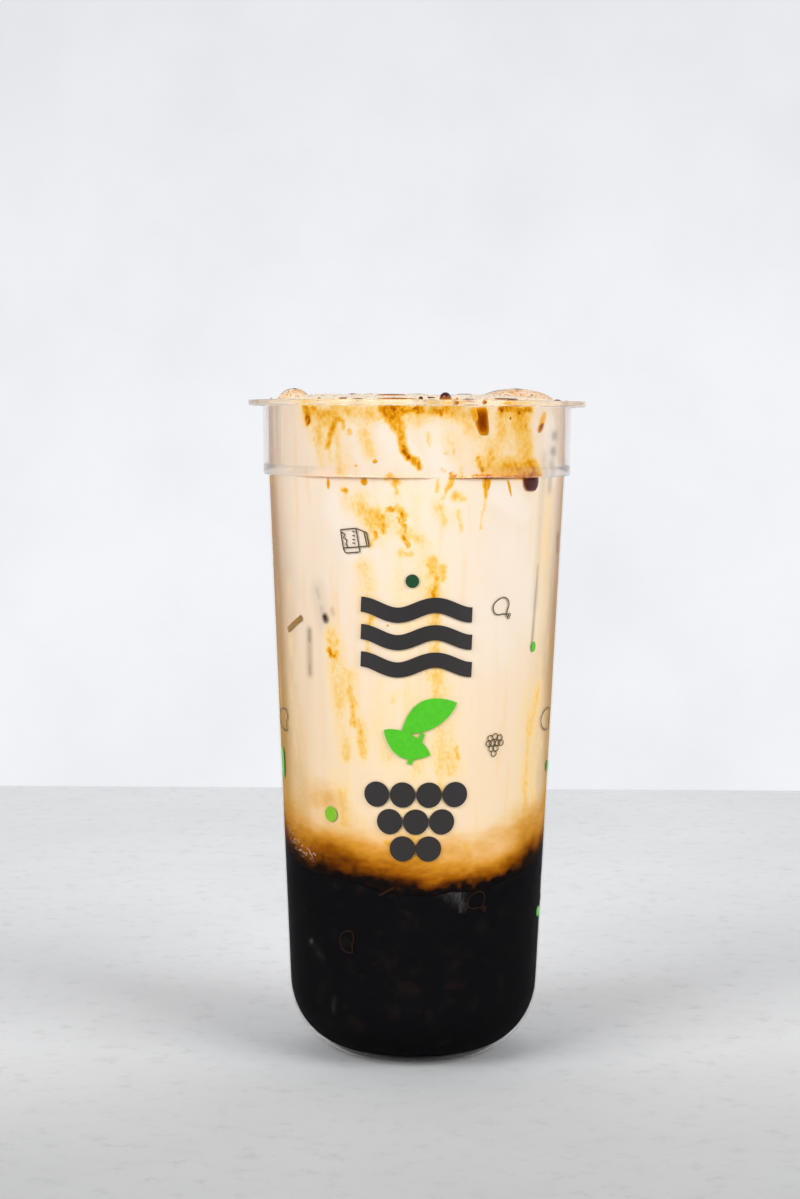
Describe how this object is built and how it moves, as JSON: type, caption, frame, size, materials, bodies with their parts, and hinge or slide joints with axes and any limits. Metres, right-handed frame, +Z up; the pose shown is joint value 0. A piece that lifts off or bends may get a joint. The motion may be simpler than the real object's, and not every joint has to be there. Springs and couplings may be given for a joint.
{
  "type": "bubble tea",
  "caption": "Bubble tea in a clear U-shaped cup with a skirt under its rim: a dark syrup and pearl layer, milk to the brim, and lumps of ice standing out of it.",
  "frame": {"origin": "middle of the base, on the surface that the cup stands on", "axes": "+Z up along the cup's height; -Y faces the viewer"},
  "size_m": [0.09, 0.09, 0.1781],
  "materials": {
    "clear_plastic": "clear, glossy moulded polypropylene",
    "milk": "opaque cream milk tea, wet",
    "syrup": "nearly black brown-sugar syrup with pearls, wet",
    "coated_ice": "ice coated with milk, wet",
    "thin_syrup": "thin brown-sugar syrup, clear amber to dark brown, wet",
    "print_charcoal": "screen-printed ink",
    "print_green": "screen-printed ink",
    "print_ochre": "screen-printed ink"
  },
  "bodies": {
    "root": {"cup": "clear_plastic", "milk": "milk", "pearl_layer": "syrup", "ice_left": "coated_ice", "ice_right": "coated_ice"}
  },
  "joints": []
}
